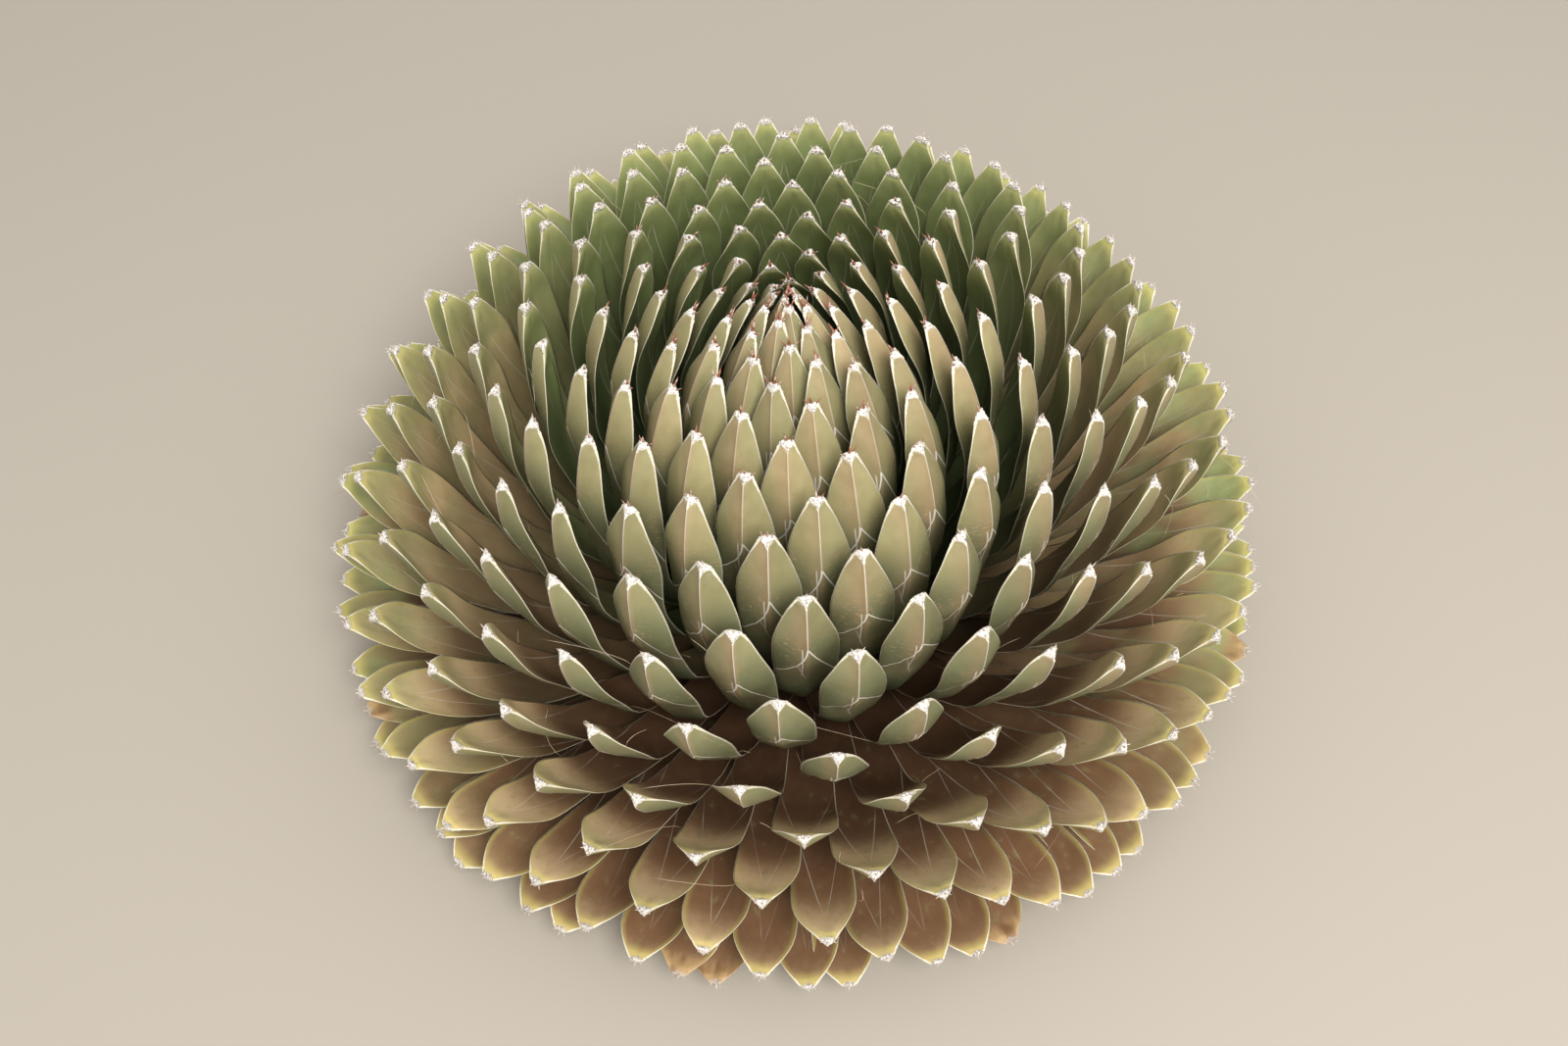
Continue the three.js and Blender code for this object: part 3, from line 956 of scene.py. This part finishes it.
def tube(path, radius):
    """A thin tube along a path, which ends in a point, as vertices and faces."""
    vertices = []
    faces = [tuple(reversed(range(TUBE_SIDES)))]
    for n, spot in enumerate(path[:-1]):
        heading = path[n + 1] - spot
        one = np.cross(heading, ODD_DIRECTION)
        one = one / np.linalg.norm(one)
        two = np.cross(heading, one) / np.linalg.norm(heading)
        for i in range(TUBE_SIDES):
            turn = 2 * math.pi * i / TUBE_SIDES
            vertices.append(spot + (one * math.cos(turn) + two * math.sin(turn)) * radius)
    vertices.append(path[-1])
    last = len(vertices) - 1
    for n in range(len(path) - 1):
        for i in range(TUBE_SIDES):
            a = TUBE_SIDES * n + i
            b = TUBE_SIDES * n + (i + 1) % TUBE_SIDES
            if n < len(path) - 2:
                faces.append((a, b, b + TUBE_SIDES, a + TUBE_SIDES))
            else:
                faces.append((a, b, last))
    return vertices, faces


def fibre_path(leaf, random):
    """A fibre that splits off a leaf's margin, from its root to its end."""
    side = random.choice((-1, 1))
    ring = random.integers(*FIBRE_RINGS)
    corner = 0 if side < 0 else len(UPPER_ACROSS)
    root = leaf.vertices[ring * AROUND + corner] / MM
    across = leaf.turned(0.0, 1.0, 0.0) * side
    above = np.cross(leaf.tangent, across) * side
    length = SHORTEST_FIBRE + (LONGEST_FIBRE - SHORTEST_FIBRE) * random.random() ** 3
    lean = across * random.uniform(*FIBRE_LEAN) + above * random.uniform(*FIBRE_LIFT)
    heading = leaf.tangent * random.uniform(*FIBRE_ALONG) + lean
    curl = random.normal(0, FIBRE_CURL, 3) + across * FIBRE_DRIFT
    start = root - across * FIBRE_SUNK
    steps = np.linspace(0, 1, FIBRE_STEPS)
    return [start + (heading * t + curl * t**2) * length for t in steps]


def make_fibres(leaves, random):
    """A few fine pale fibres on the margins of the grown leaves."""
    vertices = []
    faces = []
    for leaf in leaves[FIBRES_FROM_LEAF:]:
        if random.random() < FIBRE_CHANCE:
            more, more_faces = tube(fibre_path(leaf, random), FIBRE_RADIUS)
            faces.extend(tuple(v + len(vertices) for v in face) for face in more_faces)
            vertices.extend(more)
    piece = mesh_object("margin_fibres", np.array(vertices) * MM, faces, {})
    s = Shader("fibre")
    where = s.object_space()
    colour = s.mix(s.noise(where, 60), MARGIN_WHITE, STRAW)
    dull = s.fade(s.noise(where, 90), 0.3, 0.7, 0.5, 0.7)
    piece.data.materials.append(s.finish(colour, dull))
    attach(piece, "root")


def lathe(name, outline, relief):
    """A body of revolution from its outline as radius and height in millimetres, with a relief
    that moves each of its points outward and up."""
    angles = np.arange(TURNED_SIDES) * 2 * math.pi / TURNED_SIDES
    rings = []
    for radius, height in outline:
        outward, upward = relief(angles, radius, height)
        far = radius + outward
        high = np.maximum(height + upward, 0)
        rings.append(np.stack([far * np.cos(angles), far * np.sin(angles), high], axis=1))
    count = len(outline)
    middle = [[0, 0, outline[0][1]], [0, 0, outline[-1][1]]]
    vertices = np.concatenate(rings + [np.array(middle)]) * MM
    faces = []
    for i in range(TURNED_SIDES):
        j = (i + 1) % TURNED_SIDES
        for ring in range(count - 1):
            a = ring * TURNED_SIDES
            b = a + TURNED_SIDES
            faces.append((a + i, a + j, b + j, b + i))
        last = (count - 1) * TURNED_SIDES
        faces.append((count * TURNED_SIDES, j, i))
        faces.append((count * TURNED_SIDES + 1, last + i, last + j))
    radii = np.linalg.norm(vertices[:, :2], axis=1) / MM
    measures = {"radius_mm": radii, "height_mm": vertices[:, 2] / MM}
    return mesh_object(name, vertices, faces, measures)


def bark_relief(angles, radius, height):
    """Rough ridges round the stem; its cut face stays flat."""
    ridge = sum(high * np.sin(count * angles + slant * height) for high, count, slant in RIDGES)
    fade_in = min(height / RIDGE_START, 1)
    return (ridge - 1) * min(radius / STEM_FOOT_RADIUS, 1) * fade_in, 0 * angles


def scar_relief(angles, radius, height):
    """The scars of fallen leaves, in the same spiral, on the underside of the swollen stem."""
    scars = np.arange(SCAR_COUNT)
    reach = STEM_FOOT_RADIUS + (OLDEST_BASE[0] - STEM_FOOT_RADIUS) * np.sqrt(scars / SCAR_COUNT)
    turn = np.radians(scars * GOLDEN_ANGLE)
    dx = radius * np.cos(angles)[:, None] - (reach * np.cos(turn))[None, :]
    dy = radius * np.sin(angles)[:, None] - (reach * np.sin(turn))[None, :]
    near = np.sqrt(dx**2 + dy**2).min(axis=1)
    hollow = SCAR_DEPTH * np.clip(1 - (near / SCAR_RADIUS) ** 2, 0, 1)
    return 0 * angles, hollow * (height < UNDERSIDE_HEIGHT + SCAR_ZONE)


def bark_material():
    s = Shader("bark")
    where = s.object_space()
    grain = s.noise(where, 140, 4, 0.65)
    fibres = s.noise(where, 420, 3)
    bark = s.mix(s.fade(grain, 0.3, 0.7), BARK_DARK, BARK)
    radius = s.attribute("radius_mm")
    rings = s.math("SINE", s.math("ADD", s.times(radius, 1.6), s.times(grain, 8)))
    wood = s.mix(s.fade(rings, -1, 1, 0, 0.35), CUT_WOOD, CUT_RIND)
    wood = s.mix(s.fade(fibres, 0.5, 0.7, 0, 0.6), wood, CUT_RIND)
    wood = s.mix(s.fade(radius, 25, 30), wood, CUT_RIND)
    cut = s.times(s.fade(s.attribute("height_mm"), 0.3, 0.1), s.fade(radius, 33, 31))
    colour = s.mix(cut, bark, wood)
    dull = s.fade(grain, 0.2, 0.8, 0.75, 0.95)
    s.bump(s.math("ADD", grain, s.times(fibres, 0.4)), 0.7, BARK_RELIEF)
    return s.finish(colour, dull)


def make_stem():
    """The stem with its cut face, and the swollen part that the leaves grow from."""
    bark = bark_material()
    foot = [(radius, 0) for radius in (8, 16, 24, 28, STEM_FOOT_RADIUS - 1)]
    side = [(STEM_FOOT_RADIUS, height) for height in (1, 2, 4, 7, 10, 13, OLDEST_BASE[1])]
    top = [(STEM_TOP_RADIUS, STEM_HEIGHT - STEM_POINT), (STEM_END_RADIUS, STEM_HEIGHT - 1)]
    stem = lathe("stem_bark", foot + side + top, bark_relief)
    stem.data.materials.append(bark)
    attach(stem, "root")
    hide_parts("stem")

    rim = OLDEST_BASE[0]
    radii = np.linspace(STEM_FOOT_RADIUS + 0.5, rim, UNDERSIDE_RINGS)
    under = [(radius, UNDERSIDE_HEIGHT) for radius in radii]
    widest = rim + BASES_BULGE
    shoulder = [(widest, UNDERSIDE_HEIGHT + 3), (widest, OLDEST_BASE[1] + BASES_BULGE)]
    crown = [(YOUNGEST_BASE[0] + BASES_BULGE, YOUNGEST_BASE[1] + 2)]
    bases = lathe("leaf_bases", under + shoulder + crown, scar_relief)
    bases.data.materials.append(bark)
    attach(bases, "root")
    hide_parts("old_leaves", "young_leaves")


def make_camera():
    elevation = math.radians(CAMERA_ELEVATION)
    roll = math.radians(CAMERA_ROLL)
    ahead = Vector((0, math.cos(elevation), -math.sin(elevation)))
    right = Vector((1, 0, 0))
    up = right.cross(ahead)
    across = right * math.cos(roll) + up * math.sin(roll)
    upward = up * math.cos(roll) - right * math.sin(roll)
    data = bpy.data.cameras.new("camera")
    data.sensor_width = SENSOR_WIDTH
    data.lens = SENSOR_WIDTH * FOCAL_PIXELS / PICTURE_WIDTH
    camera = bpy.data.objects.new("camera", data)
    bpy.context.scene.collection.objects.link(camera)
    turn = Matrix((across, upward, -ahead)).transposed().to_4x4()
    spot = (Vector(CAMERA_TARGET) - ahead * CAMERA_DISTANCE) * MM
    camera.matrix_world = Matrix.Translation(spot) @ turn
    bpy.context.scene.camera = camera


def make_floor():
    half = FLOOR_HALF
    corners = np.array([(-half, -half, 0), (half, -half, 0), (half, half, 0), (-half, half, 0)])
    floor = mesh_object("floor", corners, [(0, 1, 2, 3)], {})
    floor.data.materials.append(Shader("pale_floor").finish(FLOOR_GREY, 0.9))


def make_key_light():
    data = bpy.data.lights.new("key", "AREA")
    data.shape = "DISK"
    data.size = KEY_SIZE
    data.energy = KEY_POWER
    data.color = KEY_COLOUR
    light = bpy.data.objects.new("key", data)
    bpy.context.scene.collection.objects.link(light)
    light.location = KEY_SPOT
    aim = Vector(KEY_TARGET) - Vector(KEY_SPOT)
    light.rotation_euler = aim.to_track_quat("-Z", "Y").to_euler()


def make_studio():
    world = bpy.data.worlds.new("studio")
    world.use_nodes = True
    background = world.node_tree.nodes["Background"]
    background.inputs["Color"].default_value = SKY_COLOUR
    background.inputs["Strength"].default_value = 1.0
    bpy.context.scene.world = world
    bpy.context.scene.view_settings.view_transform = "Standard"
    bpy.context.scene.view_settings.look = "Medium High Contrast"
    make_key_light()


make_camera()
made_leaves, draws = make_leaves()
make_spines(made_leaves, draws)
make_fibres(made_leaves, draws)
make_stem()
make_floor()
make_studio()
